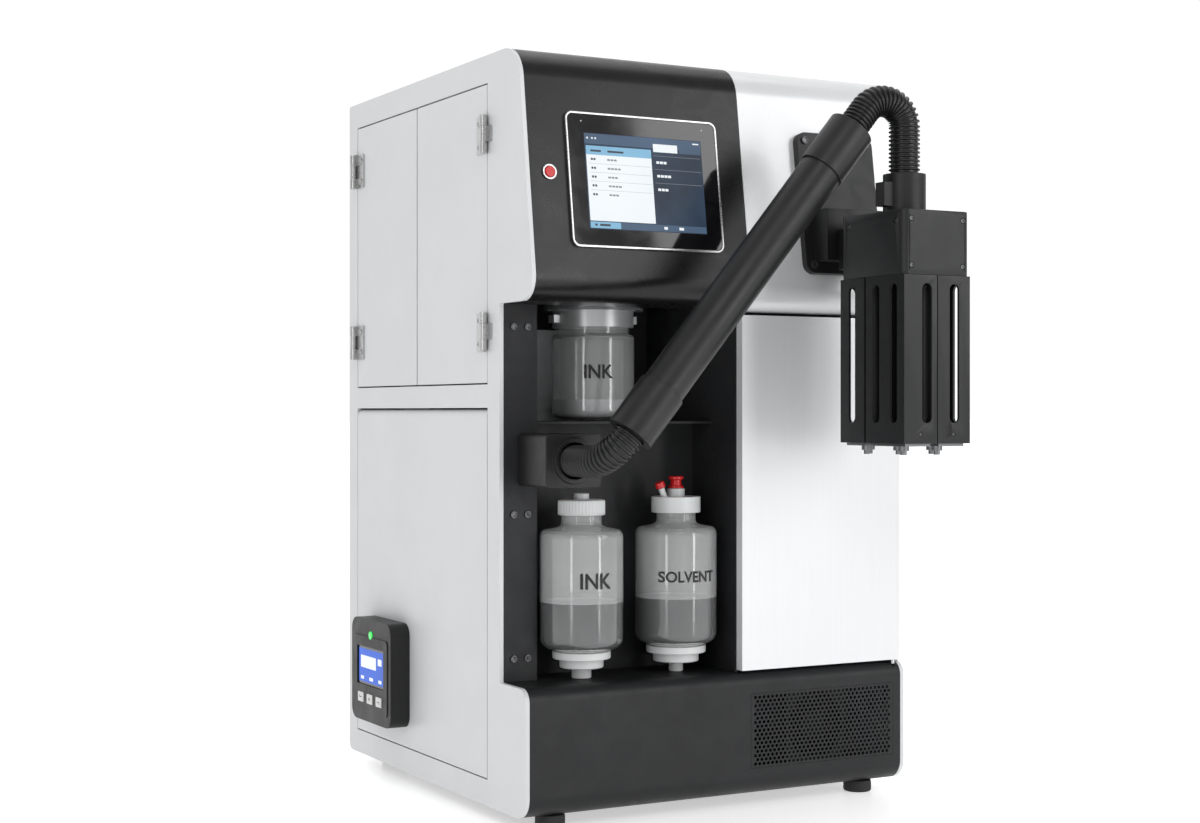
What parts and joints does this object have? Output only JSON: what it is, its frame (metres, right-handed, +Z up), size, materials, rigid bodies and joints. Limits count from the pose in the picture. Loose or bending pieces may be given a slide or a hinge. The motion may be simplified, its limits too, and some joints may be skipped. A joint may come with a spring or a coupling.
{
  "type": "date code inkjet printer",
  "caption": "Cabinet date-code inkjet printer: slanted touch screen head, open niche with ink and solvent bottles, side doors, remote panel, and a nozzle print head on an umbilical.",
  "frame": {"origin": "on the floor, under the middle of the whole machine's bounding box", "axes": "+X to the right seen from the front, -Y out of the front, +Z up"},
  "size_m": [0.5274, 0.7042, 0.844],
  "materials": {
    "white_paint": "satin powder coat",
    "black_paint": "satin black powder coat",
    "charcoal_paint": "fine-textured dark grey powder coat",
    "light_plate": "matt light grey paint",
    "foot_rubber": "matt",
    "steel": "machined",
    "bezel_silver": "bead-blasted anodised",
    "screen_glass": "glossy, lit from behind",
    "cap_white": "smooth moulded",
    "dark_plastic": "matt moulded",
    "hose_plastic": "corrugated, matt",
    "umbilical_jacket": "matt jacket",
    "head_metal": "dark grey anodised and painted",
    "clear_glass": "clear",
    "key_white": "soft",
    "green_button": "lit",
    "red_button": "glossy",
    "pump_metal": "cast and machined",
    "circuit_board": "solder-masked board"
  },
  "bodies": {
    "cabinet": {"left_side_panel": "white_paint", "right_side_panel": "white_paint", "back_panel": "white_paint", "top_cover": "white_paint", "base_tray": "charcoal_paint", "head_fascia": "black_paint", "upper_front_cover": "white_paint", "base_fascia": "charcoal_paint", "vent_grille": "charcoal_paint", "niche_liner": "charcoal_paint", "niche_shelf": "charcoal_paint", "tank_back_plate": "light_plate", "feet": "foot_rubber", "hinge_frame_leaves": "steel", "hinge_pins": "steel", "screen_bezel": "bezel_silver", "screen_glass": "screen_glass", "button_collar": "steel", "outlet_box": "dark_plastic", "lower_hose": "hose_plastic", "umbilical_sleeves": "umbilical_jacket", "umbilical_tube": "umbilical_jacket", "upper_hose": "hose_plastic", "head_collar": "dark_plastic", "head_bracket": "dark_plastic", "head_housing": "head_metal", "head_shrouds": "head_metal", "head_modules": "steel", "tank_lid": "dark_plastic", "tank_collar": "steel", "tank_jar": "clear_glass", "ink_pump": "pump_metal", "valve_block": "pump_metal", "power_supply": "light_plate", "control_board": "circuit_board", "fan_frame": "dark_plastic", "power_inlet": "dark_plastic", "panel_screws": "steel"},
    "rear_door": {"rear_side_door": "white_paint", "rear_door_hinge_leaves": "steel"},
    "fore_door": {"fore_side_door": "white_paint", "fore_door_hinge_leaves": "steel"},
    "flap": {"service_flap": "white_paint", "remote_case": "dark_plastic", "remote_screen": "screen_glass"},
    "power_button": {"remote_power_button": "green_button"},
    "key_left": {"remote_key_left": "key_white"},
    "key_middle": {"remote_key_middle": "key_white"},
    "key_right": {"remote_key_right": "key_white"},
    "front_door": {"front_door": "white_paint"},
    "stop_button": {"stop_button": "red_button"},
    "ink_bottle": {"ink_bottle": "clear_glass", "ink_bottle_cap": "cap_white", "ink_bottle_base": "cap_white"},
    "solvent_bottle": {"solvent_bottle": "clear_glass", "solvent_bottle_cap": "cap_white", "solvent_bottle_base": "cap_white"},
    "fill_plug": {"fill_plug": "red_button"},
    "vent_plug": {"vent_plug": "red_button"},
    "fan_rotor": {"fan_rotor": "dark_plastic"}
  },
  "joints": [
    {"name": "rear_door_hinge", "type": "hinge", "parent": "cabinet", "child": "rear_door", "pos_m": [-0.2418, 0.32267, 0.646], "axis": [0, 0, -1], "range_deg": [0, 170]},
    {"name": "fore_door_hinge", "type": "hinge", "parent": "cabinet", "child": "fore_door", "pos_m": [-0.2418, -0.06853, 0.646], "axis": [0, 0, 1], "range_deg": [0, 170]},
    {"name": "flap_hinge", "type": "hinge", "parent": "cabinet", "child": "flap", "pos_m": [-0.2283, 0.12707, 0.4445], "axis": [0, 1, 0], "range_deg": [0, 80]},
    {"name": "power_press", "type": "slide", "parent": "flap", "child": "power_button", "axis": [1, 0, 0], "range_m": [0, 0.0008], "stiffness_N_per_m": 600, "springref_m": -0.0005},
    {"name": "key_left_press", "type": "slide", "parent": "flap", "child": "key_left", "axis": [1, 0, 0], "range_m": [0, 0.0008], "stiffness_N_per_m": 600, "springref_m": -0.0005},
    {"name": "key_middle_press", "type": "slide", "parent": "flap", "child": "key_middle", "axis": [1, 0, 0], "range_m": [0, 0.0008], "stiffness_N_per_m": 600, "springref_m": -0.0005},
    {"name": "key_right_press", "type": "slide", "parent": "flap", "child": "key_right", "axis": [1, 0, 0], "range_m": [0, 0.0008], "stiffness_N_per_m": 600, "springref_m": -0.0005},
    {"name": "front_door_hinge", "type": "hinge", "parent": "cabinet", "child": "front_door", "pos_m": [0.2517, -0.15643, 0.358], "axis": [0, 0, 1], "range_deg": [0, 27]},
    {"name": "stop_press", "type": "slide", "parent": "cabinet", "child": "stop_button", "axis": [0, 0.9907, -0.1364], "range_m": [0, 0.003], "stiffness_N_per_m": 600, "springref_m": -0.001},
    {"name": "ink_bottle_slide", "type": "slide", "parent": "cabinet", "child": "ink_bottle", "axis": [0, -1, 0], "range_m": [0, 0.11]},
    {"name": "solvent_bottle_slide", "type": "slide", "parent": "cabinet", "child": "solvent_bottle", "axis": [0, -1, 0], "range_m": [0, 0.11]},
    {"name": "fill_plug_pull", "type": "slide", "parent": "solvent_bottle", "child": "fill_plug", "axis": [0, 0, 1], "range_m": [0, 0.02]},
    {"name": "vent_plug_pull", "type": "slide", "parent": "solvent_bottle", "child": "vent_plug", "axis": [-0.3746, 0, 0.9272], "range_m": [0, 0.015]},
    {"name": "fan_spin", "type": "hinge", "parent": "cabinet", "child": "fan_rotor", "pos_m": [0.1397, -0.14843, 0.088], "axis": [0, 1, 0], "continuous": true}
  ]
}
